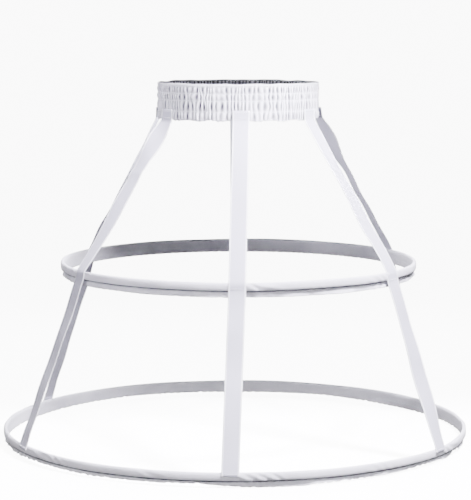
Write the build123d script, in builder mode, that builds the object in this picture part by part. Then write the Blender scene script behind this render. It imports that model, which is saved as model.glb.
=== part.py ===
from build123d import *
import os
from math import cos, hypot, pi, radians, sin

# A crinoline cage: an elastic waistband, two boned hoops and six flat tapes that hang the hoops from the waist.
# Millimetres, +Z up, front towards -Y, the floor and the lower hoop's underside at Z = 0.

# Hoops: radius of each bone's middle, and the height of each casing's lower edge
lower_hoop_radius = 355.5
upper_hoop_radius = 271.0
lower_hoop_height = 0.0
upper_hoop_height = 256.0
upper_hoop_sway = 5.5

# Bones: flat springy strip, its ends pushed into a short sleeve at the centre back, drawn in straight sides
bone_thickness = 3.2
bone_width = 7.0
bone_end_gap = 1.0
sleeve_wall = 0.4
sleeve_length = 30.0
sleeve_clearance = 0.1
casing_clearance = 0.25
bone_side_count = 54

# Hoop casing: cloth folded over the bone and stitched below it, with its two raw edges hanging as a flap
casing_cloth = 0.9
casing_shoulder = 2.0
casing_fold_width = 2.0
flap_height = 9.6
flap_thickness = 2.0

# Waistband: an oval cloth tunnel gathered on wide elastic, stitched through in rows
waist_half_width = 124.8
waist_half_depth = 95.0
waist_height = 496.0
waist_sway = 4.9
channel_heights = [13.6, 16.2, 10.6, 10.5]
pleat_count = 84
pleat_depth = 2.1
pleat_unevenness = 0.3
channel_puff = 0.8
hem_height = 4.1
hem_inset = 1.6
elastic_thickness = 1.2
elastic_margin = 3.0
elastic_clearance = 0.2
elastic_side_count = 54
waistband_cloth = 0.5
waistband_lining = 1.0
lining_pleat_depth = 1.2

# Tapes: their places round the waistband's oval, the upper hoop and the lower hoop, in degrees from the centre front
tape_width = 25.4
tape_thickness = 1.1
tape_clearance = 0.3
tape_waist_overlap = 16.0
tape_hoop_overlap = 3.6
tapes = {
    "front_center": (2.0, -0.4, -1.0),
    "front_right": (59.0, 55.6, 57.3),
    "back_right": (101.0, 118.3, 120.0),
    "back_center": (180.0, 180.0, 180.0),
    "back_left": (-101.0, -121.0, -120.8),
    "front_left": (-59.0, -58.3, -60.7),
}

# Tacks: bars of close thread that hold each tape to the waistband and to the hoops
tack_length = 19.0
tack_width = 1.1
tack_height = 0.5
waist_tack_spacing = 10.0

# Worked-out sizes
sleeve_thickness = bone_thickness + 2 * (sleeve_wall + sleeve_clearance)
sleeve_width = bone_width + 2 * (sleeve_wall + sleeve_clearance)
tunnel_thickness = sleeve_thickness + 2 * casing_clearance
tunnel_width = sleeve_width + 2 * casing_clearance
casing_face = tunnel_thickness / 2 + casing_cloth
bone_lift = flap_height + casing_shoulder + tunnel_width / 2
casing_height = flap_height + tunnel_width + 2 * casing_shoulder
band_height = sum(channel_heights)
elastic_height = band_height - 2 * elastic_margin
pleat_valley = pleat_depth * (1 + pleat_unevenness)
half_pitch = pi * (waist_half_width + waist_half_depth) / (2 * pleat_count)
valley_retreat = channel_puff * hypot(pleat_valley, half_pitch) / half_pitch
elastic_inset = pleat_valley + valley_retreat + waistband_cloth + elastic_clearance
elastic_back = elastic_inset + elastic_thickness
waistband_wall = elastic_back + elastic_clearance + waistband_lining

os.makedirs("parts", exist_ok=True)


def save(piece, label):
    """Label a finished piece and write its file."""
    piece.part.label = label
    export_step(piece.part, f"parts/{label}.step")


def on_oval(angle, outset=0.0):
    """Point of the waistband's oval at an angle from the centre front, moved out along the oval's normal."""
    across = sin(radians(angle))
    ahead = cos(radians(angle))
    normal = Vector(across / waist_half_width, -ahead / waist_half_depth).normalized()
    rim = Vector(waist_sway + waist_half_width * across, -waist_half_depth * ahead)
    return rim + normal * outset, normal


def on_hoop(angle, radius, sway):
    """Point of a hoop at an angle from the centre front, with the direction that faces out there."""
    outward = Vector(sin(radians(angle)), -cos(radians(angle)))
    return outward * radius + Vector(sway, 0), outward


def oval_face(height, corners):
    """Flat face at a height with the given corners."""
    with BuildSketch(Plane.XY.offset(height)) as face:
        with BuildLine():
            Polyline([(corner.X, corner.Y) for corner in corners], close=True)
        make_face()
    return face.sketch


def smooth_oval(height, inset, side_count):
    """Even oval inside the waistband's outline by the inset, in straight sides."""
    return oval_face(height, [on_oval(step * 360 / side_count, -inset)[0] for step in range(side_count)])


def gathered_oval(height, inset, depth, retreat=0.0):
    """Zigzag oval of unevenly spaced gathers, from ridges at the inset to valleys one depth further in.

    The retreat moves every side in by the same distance, which keeps the gathers' sides flat between two heights.
    """
    corners = []
    for step in range(2 * pleat_count):
        wander = pleat_unevenness * sin(2.4 * step) * cos(0.37 * step)
        share = 1 + wander if step % 2 else abs(wander) / 2
        corners.append(on_oval((step + wander) * 180 / pleat_count, -inset - depth * share)[0])
    moved = []
    for place, corner in enumerate(corners):
        before = (corner - corners[place - 1]).normalized()
        after = (corners[(place + 1) % len(corners)] - corner).normalized()
        inward = Vector(-before.Y - after.Y, before.X + after.X)
        moved.append(corner + inward * (retreat / (1 + before.dot(after))))
    return oval_face(height, moved)


def elastic_strip(slack):
    """Strip of elastic round the oval, grown all over by the slack."""
    base = waist_height + elastic_margin - slack
    with BuildPart() as strip:
        extrude(smooth_oval(base, elastic_inset - slack, elastic_side_count), amount=elastic_height + 2 * slack)
        back = smooth_oval(base, elastic_back + slack, elastic_side_count)
        extrude(back, amount=elastic_height + 2 * slack, mode=Mode.SUBTRACT)
    return strip


# Waistband casing: each channel swells between its stitch rows, and a rolled hem closes the top
with BuildPart() as waistband_casing:
    levels = [(waist_height, channel_puff)]
    for height in channel_heights:
        row = levels[-1][0] + height
        levels += [(row - height / 2, 0.0), (row, channel_puff)]
    loft([gathered_oval(level, 0.0, pleat_depth, retreat) for level, retreat in levels], ruled=True)
    extrude(
        gathered_oval(waist_height, waistband_wall, lining_pleat_depth), amount=band_height, mode=Mode.SUBTRACT
    )
    with BuildSketch(Plane.XY.offset(waist_height + band_height)) as hem:
        add(smooth_oval(0.0, hem_inset, pleat_count))
        add(smooth_oval(0.0, waistband_wall, pleat_count), mode=Mode.SUBTRACT)
    extrude(amount=hem_height)
    add(elastic_strip(elastic_clearance), mode=Mode.SUBTRACT)
save(waistband_casing, "waistband_casing")

# Waist elastic: one wide woven band sealed in the casing
waist_elastic = elastic_strip(0.0)
save(waist_elastic, "waist_elastic")


def bone_ring(middle, radius, thickness, width, gap=0.0):
    """Ring of straight sides centred on the radius and on the middle plane, with a gap at the back for its ends."""
    flats = {"side_count": bone_side_count, "major_radius": False, "rotation": 90 - 180 / bone_side_count}
    with BuildPart() as ring:
        with BuildSketch(middle.offset(-width / 2)):
            RegularPolygon(radius + thickness / 2, **flats)
            RegularPolygon(radius - thickness / 2, **flats, mode=Mode.SUBTRACT)
            if gap:
                with Locations((0, radius)):
                    Rectangle(gap, 2 * thickness, mode=Mode.SUBTRACT)
        extrude(amount=width)
    return ring


def make_hoop(name, radius, height, sway):
    """Make one hoop: its folded cloth casing, the bone inside it and the sleeve that joins the bone's ends."""
    middle = Plane(origin=(sway, 0, height + bone_lift))
    top = height + casing_height
    crease = height + flap_height
    inner = radius - casing_face

    with BuildPart() as casing:
        with BuildSketch(Plane(origin=(sway, 0, 0), x_dir=(0, 1, 0), z_dir=(1, 0, 0))):
            with BuildLine():
                Polyline(
                    (inner, height),
                    (inner + flap_thickness, height),
                    (inner + flap_thickness, crease),
                    (radius + casing_face, crease + casing_shoulder),
                    (radius + casing_face, top - casing_shoulder),
                    (inner + casing_fold_width, top),
                    (inner, top),
                    close=True,
                )
            make_face()
        revolve(axis=Axis((sway, 0, 0), (0, 0, 1)))
        add(bone_ring(middle, radius, tunnel_thickness, tunnel_width), mode=Mode.SUBTRACT)
    save(casing, f"{name}_casing")

    save(bone_ring(middle, radius, bone_thickness, bone_width, bone_end_gap), f"{name}_bone")

    with BuildPart() as connector:
        start = (sway - sleeve_length / 2, radius, height + bone_lift)
        with BuildSketch(Plane(origin=start, x_dir=(0, 1, 0), z_dir=(1, 0, 0))):
            Rectangle(sleeve_thickness, sleeve_width)
            Rectangle(
                bone_thickness + 2 * sleeve_clearance, bone_width + 2 * sleeve_clearance, mode=Mode.SUBTRACT
            )
        extrude(amount=sleeve_length)
    save(connector, f"{name}_connector")


make_hoop("upper_hoop", upper_hoop_radius, upper_hoop_height, upper_hoop_sway)
make_hoop("lower_hoop", lower_hoop_radius, lower_hoop_height, 0.0)


def tape_route(waist_angle, upper_angle, lower_angle):
    """Places on the middle of a tape, from the waistband down: each a point and the direction across the tape."""
    seat = tape_clearance + tape_thickness / 2
    rim, rim_normal = on_oval(waist_angle, seat)
    upper, upper_normal = on_hoop(upper_angle, upper_hoop_radius + casing_face + seat, upper_hoop_sway)
    lower, lower_normal = on_hoop(lower_angle, lower_hoop_radius + casing_face + 2 * seat, 0.0)
    up = Vector(0, 0, 1)
    shoulder = upper_hoop_height + casing_height - casing_shoulder
    return [
        (rim + up * (waist_height + tape_waist_overlap), up.cross(rim_normal)),
        (rim + up * waist_height, up.cross(rim_normal)),
        (upper + up * shoulder, up.cross(upper_normal)),
        (upper + up * (upper_hoop_height + flap_height + casing_shoulder), up.cross(upper_normal)),
        (lower + up * (lower_hoop_height + casing_height - tape_hoop_overlap), up.cross(lower_normal)),
    ]


def squared(direction, across):
    """Unit direction with its share across the tape taken out."""
    return (direction - across * direction.dot(across)).normalized()


def make_tape(route):
    """Loft a flat tape of even thickness along its route, folded crisply where the route turns."""
    with BuildPart() as tape:
        for place, (point, across) in enumerate(route):
            runs = [squared(end - start, across) for (start, _), (end, _) in zip(route, route[1:])]
            before = runs[max(place - 1, 0)]
            after = runs[min(place, len(runs) - 1)]
            fold = radians(before.get_angle(after)) / 2
            with BuildSketch(Plane(origin=point, x_dir=across, z_dir=before + after)):
                Rectangle(tape_width, tape_thickness / cos(fold))
        loft(ruled=True)
    return tape


def tack_plane(route, start, share):
    """Plane on the outer face of a tape, at a share of the run that starts at the given place."""
    (top, top_across), (bottom, bottom_across) = route[start], route[start + 1]
    run = bottom - top
    across = squared(top_across + (bottom_across - top_across) * share, run.normalized())
    outward = run.cross(across).normalized()
    return Plane(origin=top + run * share + outward * (tape_thickness / 2), x_dir=across, z_dir=outward)


routes = {name: tape_route(*angles) for name, angles in tapes.items()}
for name, route in routes.items():
    save(make_tape(route), f"tape_{name}")


def make_tacks(label, run, distances):
    """Group the tacks on one run of every tape, each at a distance up from the run's lower end."""
    with BuildPart() as tacks:
        for route in routes.values():
            length = (route[run + 1][0] - route[run][0]).length
            for distance in distances:
                face = tack_plane(route, run, 1 - distance / length)
                with BuildSketch(face):
                    Rectangle(tack_length, tack_width)
                extrude(amount=tack_height, dir=face.z_dir)
    save(tacks, label)


waist_tack_rise = (tape_waist_overlap - waist_tack_spacing) / 2
make_tacks("waist_tacks", 0, [waist_tack_rise, waist_tack_rise + waist_tack_spacing])
make_tacks("upper_hoop_tacks", 2, [tack_width])
make_tacks("lower_hoop_tacks", 3, [tack_width])
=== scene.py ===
import logging
import math
import random
from collections.abc import Callable
from dataclasses import dataclass, field
from enum import Enum
from functools import partial

import bpy
import numpy as np
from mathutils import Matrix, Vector


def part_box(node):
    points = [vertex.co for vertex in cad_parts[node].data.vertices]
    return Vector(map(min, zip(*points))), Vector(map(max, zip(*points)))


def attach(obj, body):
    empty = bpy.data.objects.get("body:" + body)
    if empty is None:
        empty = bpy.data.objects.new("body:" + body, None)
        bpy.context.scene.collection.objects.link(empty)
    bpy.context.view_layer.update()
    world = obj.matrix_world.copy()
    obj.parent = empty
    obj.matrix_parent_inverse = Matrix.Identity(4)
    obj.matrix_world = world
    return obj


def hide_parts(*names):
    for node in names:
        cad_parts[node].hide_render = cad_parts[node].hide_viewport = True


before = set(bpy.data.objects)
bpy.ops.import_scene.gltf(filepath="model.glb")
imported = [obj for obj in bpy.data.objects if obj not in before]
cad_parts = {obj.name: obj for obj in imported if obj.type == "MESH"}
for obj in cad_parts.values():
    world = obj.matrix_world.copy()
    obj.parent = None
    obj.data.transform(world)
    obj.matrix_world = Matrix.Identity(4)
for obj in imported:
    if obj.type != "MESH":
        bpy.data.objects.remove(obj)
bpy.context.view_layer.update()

# A crinoline cage: a gathered waistband on wide elastic, two boned hoops in folded cloth and six flat tapes.
# Metres, +Z up, front towards -Y. Sizes that end in _mm are in millimetres.

MM = 0.001
TURN = 2 * math.pi
STITCH_SHARES = np.array([0.06, 0.25, 0.5, 0.75, 0.94])  # the points of one stitch, as shares of its length
log = logging.getLogger("crinoline")


# Shapes shared by all pieces


class Level(Enum):
    """Where along a tape a tack sits: measured from its top, its upper hoop crossing or its lower end."""

    WAIST = "waist"
    UPPER_HOOP = "upper_hoop"
    LOWER_HOOP = "lower_hoop"


@dataclass(frozen=True)
class Unevenness:
    """Smooth hand-made wander round a closed length, with a spread of about 1.

    Attributes:
        seed: Picks the wander, the same on each run.
        slowest: Fewest waves in one turn.
        fastest: Most waves in one turn.
        terms: How many waves are laid over each other.
    """

    seed: int
    slowest: int
    fastest: int
    terms: int = 9

    def at(self, turn: np.ndarray) -> np.ndarray:
        """Wander at places round the length.

        Args:
            turn: Places, 0 to 1 for a full turn.

        Returns:
            The wander at each place.
        """
        draw = random.Random(self.seed)
        total = np.zeros_like(turn, dtype=float)
        power = 0.0
        for _ in range(self.terms):
            waves = draw.randint(self.slowest, self.fastest)
            phase = draw.uniform(0, TURN)
            weight = draw.uniform(0.5, 1.0)
            total += weight * np.sin(TURN * waves * turn + phase)
            power += weight * weight / 2
        return total / math.sqrt(power)


def smooth_step(low: float, high: float, value: np.ndarray) -> np.ndarray:
    """Rise smoothly from 0 at the low value to 1 at the high one."""
    share = np.clip((value - low) / (high - low), 0.0, 1.0)
    return share * share * (3 - 2 * share)


def unit(vectors: np.ndarray) -> np.ndarray:
    """Scale vectors along the last axis to length 1."""
    return vectors / np.maximum(np.linalg.norm(vectors, axis=-1, keepdims=True), 1e-12)


def walked_length(points: np.ndarray) -> np.ndarray:
    """Distance along a line of points from its start, or the mean of it over a grid's columns."""
    steps = np.linalg.norm(np.diff(points, axis=0), axis=-1)
    return np.concatenate([[0.0], np.cumsum(steps if steps.ndim == 1 else steps.mean(axis=1))])


def grid_mesh(
    name: str,
    points: np.ndarray,
    across: np.ndarray,
    along: np.ndarray,
    wrap: bool,
    shade: np.ndarray | None = None,
) -> bpy.types.Object:
    """Make a smooth cloth mesh from rows of points.

    Args:
        name: Name of the object.
        points: Rows by columns by 3, in metres.
        across: Distance over the cloth for each row, in metres, for the weave.
        along: Distance along the cloth for each column and one more where it closes, in metres.
        wrap: Whether the last column joins the first.
        shade: Painted shade in the folds for each point, 0 to 1, kept as the attribute "fold".

    Returns:
        The new object.
    """
    rows, columns = points.shape[:2]
    spans = columns if wrap else columns - 1
    row, column = np.meshgrid(np.arange(rows - 1), np.arange(spans), indexing="ij")
    square = [(row, column), (row, column + 1), (row + 1, column + 1), (row + 1, column)]
    faces = np.stack([here * columns + there % columns for here, there in square], -1)
    corners = np.stack([np.stack([along[there], across[here]], -1) for here, there in square], -2)
    return mesh_object(name, points.reshape(-1, 3), faces.reshape(-1, 4), corners.reshape(-1, 2), shade)


def mesh_object(
    name: str,
    points: np.ndarray,
    faces: np.ndarray,
    corners: np.ndarray | None = None,
    shade: np.ndarray | None = None,
) -> bpy.types.Object:
    """Make a smooth mesh object from points and four-sided faces.

    Args:
        name: Name of the object.
        points: Points by 3, in metres.
        faces: Faces by 4 point numbers.
        corners: Weave coordinates of each face's corners in turn, in metres.
        shade: Painted shade for each point, kept as the attribute "fold".

    Returns:
        The new object.
    """
    mesh = bpy.data.meshes.new(name)
    mesh.from_pydata(points.tolist(), [], faces.tolist())
    if corners is not None:
        layer = mesh.uv_layers.new(name="weave")
        layer.data.foreach_set("uv", np.ascontiguousarray(corners, dtype=np.float32).ravel())
    if shade is not None:
        fold = mesh.attributes.new("fold", "FLOAT", "POINT")
        fold.data.foreach_set("value", np.ascontiguousarray(shade, dtype=np.float32).ravel())
    mesh.shade_smooth()
    made = bpy.data.objects.new(name, mesh)
    bpy.context.scene.collection.objects.link(made)
    return made


def thicken(piece: bpy.types.Object, thickness: float) -> None:
    """Give a cloth surface its thickness, half to each side.

    Args:
        piece: The cloth.
        thickness: Its thickness, in metres.
    """
    solid = piece.modifiers.new("cloth_thickness", "SOLIDIFY")
    solid.thickness = thickness
    solid.offset = 0.0
    solid.use_even_offset = False
    solid.use_rim = True


def thread_mesh(name: str, paths: np.ndarray, radius: np.ndarray, sides: int = 5) -> bpy.types.Object:
    """Make many short lengths of thread in one mesh, each thinner towards its ends.

    Args:
        name: Name of the object.
        paths: Threads by points by 3, in metres.
        radius: Radius at each point of a thread, in metres.
        sides: Sides of a thread's section.

    Returns:
        The new object.
    """
    count, steps = paths.shape[:2]
    tangent = unit(np.gradient(paths, axis=1))
    guide = np.where(np.abs(tangent[..., 2:3]) > 0.9, np.array([1.0, 0, 0]), np.array([0, 0, 1.0]))
    first = unit(np.cross(tangent, guide))
    second = np.cross(tangent, first)
    turns = np.arange(sides) * TURN / sides
    ring = first[:, :, None] * np.cos(turns)[:, None] + second[:, :, None] * np.sin(turns)[:, None]
    points = paths[:, :, None] + ring * radius[None, :, None, None]
    thread, step, side = np.meshgrid(np.arange(count), np.arange(steps - 1), np.arange(sides), indexing="ij")
    base = (thread * steps + step) * sides
    beside = (side + 1) % sides
    faces = np.stack([base + side, base + beside, base + sides + beside, base + sides + side], -1)
    return mesh_object(name, points.reshape(-1, 3), faces.reshape(-1, 4))


# Finishes


def linear(colour: str) -> tuple[float, float, float, float]:
    """Turn an sRGB hex colour such as "#E8E8F0" into linear red, green, blue and alpha."""
    parts = [int(colour[place : place + 2], 16) / 255 for place in (1, 3, 5)]
    return *(part / 12.92 if part <= 0.04045 else ((part + 0.055) / 1.055) ** 2.4 for part in parts), 1.0


def add_node(
    tree: bpy.types.NodeTree, kind: str, settings: dict | None = None, links: dict | None = None
) -> bpy.types.Node:
    """Add a node with its settings and links.

    Args:
        tree: Node tree that gets it.
        kind: Blender's name of the node type, without its leading "ShaderNode".
        settings: Values for its input sockets, by name or number, or else for its own options.
        links: Outputs to link to its input sockets, by name or number. A node stands for its first output.

    Returns:
        The new node.
    """
    made = tree.nodes.new("ShaderNode" + kind)
    for key, value in (settings or {}).items():
        if isinstance(key, int) or key in made.inputs:
            made.inputs[key].default_value = value
        else:
            setattr(made, key, value)
    for key, source in (links or {}).items():
        tree.links.new(source.outputs[0] if isinstance(source, bpy.types.Node) else source, made.inputs[key])
    return made


def new_material(name: str) -> tuple[bpy.types.Material, Callable[..., bpy.types.Node]]:
    """Make an empty node material.

    Args:
        name: Name of the material.

    Returns:
        The material, and the function that adds a node to it.
    """
    material = bpy.data.materials.new(name)
    material.use_nodes = True
    material.node_tree.nodes.clear()
    return material, partial(add_node, material.node_tree)


@dataclass(frozen=True)
class PlainWeave:
    """Bleached cotton and polyester plain-weave cloth: matt, with a faint thread grain, slubs and painted
    shade at the bottom of folds.

    Attributes:
        name: Material name.
        lit: Colour of the face of the cloth.
        worn: Colour of the duller patches, where the cloth was handled.
        painted_shade_colour: Colour of the painted shade at the bottom of folds and gathers.
        thread_mm: Spacing of the threads, drawn about three times as coarse as real so that it shows.
        slub_mm: Length of the thicker places in the threads.
        patch_mm: Spacing of the duller patches.
        relief_mm: Height of the threads.
    """

    name: str
    lit: str = "#F0EFF6"
    worn: str = "#E2E1EA"
    painted_shade_colour: str = "#B2B2BE"
    thread_mm: float = 0.9
    slub_mm: float = 14.0
    patch_mm: float = 35.7
    relief_mm: float = 0.12

    def make(self) -> bpy.types.Material:
        """Make the material.

        Returns:
            The new material.
        """
        material, add = new_material(self.name)
        place = add("UVMap", {"uv_map": "weave"})
        split = add("SeparateXYZ", links={0: place.outputs["UV"]})
        waves = []
        per_metre = TURN / (2 * self.thread_mm * MM)
        for axis in ("X", "Y"):
            turns = add("Math", {"operation": "MULTIPLY", 1: per_metre}, {0: split.outputs[axis]})
            waves.append(add("Math", {"operation": "SINE"}, {0: turns}))
        over_under = add("Math", {"operation": "MULTIPLY"}, {0: waves[0], 1: waves[1]})
        stretch = (1 / (self.slub_mm * MM), 1 / (self.thread_mm * 1.5 * MM), 1.0)
        grain_place = add("Mapping", {"Scale": stretch}, {"Vector": place.outputs["UV"]})
        slubs = add("TexNoise", {"Scale": 1.0, "Detail": 3.0}, {"Vector": grain_place})
        solid = add("TexCoord")
        patches = add(
            "TexNoise",
            {"Scale": 1 / (self.patch_mm * MM), "Detail": 4.0, "Roughness": 0.6},
            {"Vector": solid.outputs["Object"]},
        )
        height = add("Math", {"operation": "MULTIPLY_ADD", 1: 0.35}, {0: over_under, 2: slubs.outputs["Fac"]})
        bump = add("Bump", {"Strength": 0.5, "Distance": self.relief_mm * MM}, {"Height": height})
        handled = add("MapRange", {"From Min": 0.35, "From Max": 0.75}, {"Value": patches.outputs["Fac"]})
        face = add("Mix", {"data_type": "RGBA", 6: linear(self.lit), 7: linear(self.worn)}, {0: handled})
        # Painted shade: the attribute "fold" mixes the cloth towards the shade colour at the bottom of folds
        # and creases.
        fold = add("Attribute", {"attribute_name": "fold"})
        shaded = {0: fold.outputs["Fac"], 6: face.outputs[2]}
        colour = add("Mix", {"data_type": "RGBA", 7: linear(self.painted_shade_colour)}, shaded)
        rough = add("MapRange", {"To Min": 0.78, "To Max": 0.95}, {"Value": slubs.outputs["Fac"]})
        shader = add(
            "BsdfPrincipled",
            {"Specular IOR Level": 0.3, "Sheen Weight": 0.12, "Sheen Roughness": 0.5},
            {"Base Color": colour.outputs[2], "Roughness": rough, "Normal": bump},
        )
        add("OutputMaterial", links={"Surface": shader})
        return material


@dataclass(frozen=True)
class TwillTape:
    """Bleached cotton twill tape: fine slanting ribs and firmer woven edges, with painted shade in the middle
    and a painted highlight along the edges.

    Attributes:
        name: Material name.
        middle: Colour between the edges, greyer by painted shade.
        edge: Colour of the woven edges, whiter by a painted highlight.
        width_mm: Width of the tape.
        edge_mm: Width of each woven edge.
        rib_mm: Spacing of the slanting ribs, drawn about twice as coarse as real so that it shows.
        yarn_mm: Length and width of the uneven places in the yarns.
        patch_mm: Spacing of the duller patches.
        relief_mm: Height of the ribs.
    """

    name: str = "cotton_twill_tape"
    middle: str = "#CBCAD8"
    edge: str = "#F8F8FC"
    width_mm: float = 25.4
    edge_mm: float = 2.2
    rib_mm: float = 1.6
    yarn_mm: tuple[float, float] = (16.67, 1.11)
    patch_mm: float = 45.5
    relief_mm: float = 0.16

    def make(self) -> bpy.types.Material:
        """Make the material.

        Returns:
            The new material.
        """
        material, add = new_material(self.name)
        place = add("UVMap", {"uv_map": "weave"})
        split = add("SeparateXYZ", links={0: place.outputs["UV"]})
        both = {0: split.outputs["X"], 2: split.outputs["Y"]}
        slant = add("Math", {"operation": "MULTIPLY_ADD", 1: 0.6}, both)
        turns = add("Math", {"operation": "MULTIPLY", 1: TURN / (self.rib_mm * MM)}, {0: slant})
        ribs = add("Math", {"operation": "SINE"}, {0: turns})
        length, width = self.yarn_mm
        stretch = (1 / (length * MM), 1 / (width * MM), 1.0)
        stretched = add("Mapping", {"Scale": stretch}, {"Vector": place.outputs["UV"]})
        yarns = add("TexNoise", {"Scale": 1.0, "Detail": 3.0}, {"Vector": stretched})
        height = add("Math", {"operation": "MULTIPLY_ADD", 1: 0.4}, {0: ribs, 2: yarns.outputs["Fac"]})
        bump = add("Bump", {"Strength": 0.5, "Distance": self.relief_mm * MM}, {"Height": height})
        # Painted light: the middle of the tape is greyed by painted shade and its edges brightened by a
        # painted highlight.
        off_middle = add("Math", {"operation": "ABSOLUTE"}, {0: split.outputs["Y"]})
        line = self.width_mm / 2 - self.edge_mm
        blend = {"From Min": (line - 0.5) * MM, "From Max": (line + 0.3) * MM}
        painted_edge_highlight = add("MapRange", blend, {"Value": off_middle})
        solid = add("TexCoord")
        spread = {"Scale": 1 / (self.patch_mm * MM), "Detail": 4.0}
        patches = add("TexNoise", spread, {"Vector": solid.outputs["Object"]})
        tone = add("MapRange", {"To Min": 0.93, "To Max": 1.0}, {"Value": patches.outputs["Fac"]})
        colour = add("Mix", {"data_type": "RGBA", 6: linear(self.middle), 7: linear(self.edge)}, {0: painted_edge_highlight})
        toned = add("HueSaturation", links={"Color": colour.outputs[2], "Value": tone})
        shader = add(
            "BsdfPrincipled",
            {"Roughness": 0.8, "Specular IOR Level": 0.3, "Sheen Weight": 0.15, "Sheen Roughness": 0.45},
            {"Base Color": toned, "Normal": bump},
        )
        add("OutputMaterial", links={"Surface": shader})
        return material


@dataclass(frozen=True)
class PlainSurface:
    """One-colour stuff with a fine grain: spun thread, moulded plastic, drawn steel or paper.

    Attributes:
        name: Material name.
        colour: Main colour.
        other: Second colour that the grain shows.
        roughness: Least and most roughness.
        grain_mm: Size of the grain.
        stretch: How far the grain is drawn out along each axis.
        relief_mm: Height of the grain.
        metallic: 1 for bare metal.
        glow: Strength of the surface's own light, for paper that is lit from behind.
    """

    name: str
    colour: str
    other: str
    roughness: tuple[float, float]
    grain_mm: float
    stretch: tuple[float, float, float] = (1.0, 1.0, 1.0)
    relief_mm: float = 0.05
    metallic: float = 0.0
    glow: float = 0.0

    def make(self) -> bpy.types.Material:
        """Make the material.

        Returns:
            The new material.
        """
        material, add = new_material(self.name)
        solid = add("TexCoord")
        scale = tuple(1 / (self.grain_mm * MM * part) for part in self.stretch)
        place = add("Mapping", {"Scale": scale}, {"Vector": solid.outputs["Object"]})
        grain = add("TexNoise", {"Scale": 1.0, "Detail": 3.0}, {"Vector": place})
        tones = {"data_type": "RGBA", 6: linear(self.colour), 7: linear(self.other)}
        colour = add("Mix", tones, {0: grain.outputs["Fac"]})
        low, high = self.roughness
        rough = add("MapRange", {"To Min": low, "To Max": high}, {"Value": grain.outputs["Fac"]})
        relief = {"Strength": 0.4, "Distance": self.relief_mm * MM}
        bump = add("Bump", relief, {"Height": grain.outputs["Fac"]})
        own_light = {"Emission Color": linear(self.colour), "Emission Strength": self.glow}
        shader = add(
            "BsdfPrincipled",
            {"Metallic": self.metallic, **own_light},
            {"Base Color": colour.outputs[2], "Roughness": rough, "Normal": bump},
        )
        add("OutputMaterial", links={"Surface": shader})
        return material


def finish_piece(
    piece: bpy.types.Object, material: bpy.types.Material, nodes: tuple[str, ...]
) -> None:
    """Dress a piece, fix it to the frame and hide the CAD parts that it replaces.

    Args:
        piece: The new piece.
        material: Its finish.
        nodes: CAD nodes that it replaces.
    """
    piece.data.materials.append(material)
    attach(piece, "root")
    if nodes:
        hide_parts(*nodes)
    log.info("%s: %d points", piece.name, len(piece.data.vertices))


# Waistband


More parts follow.
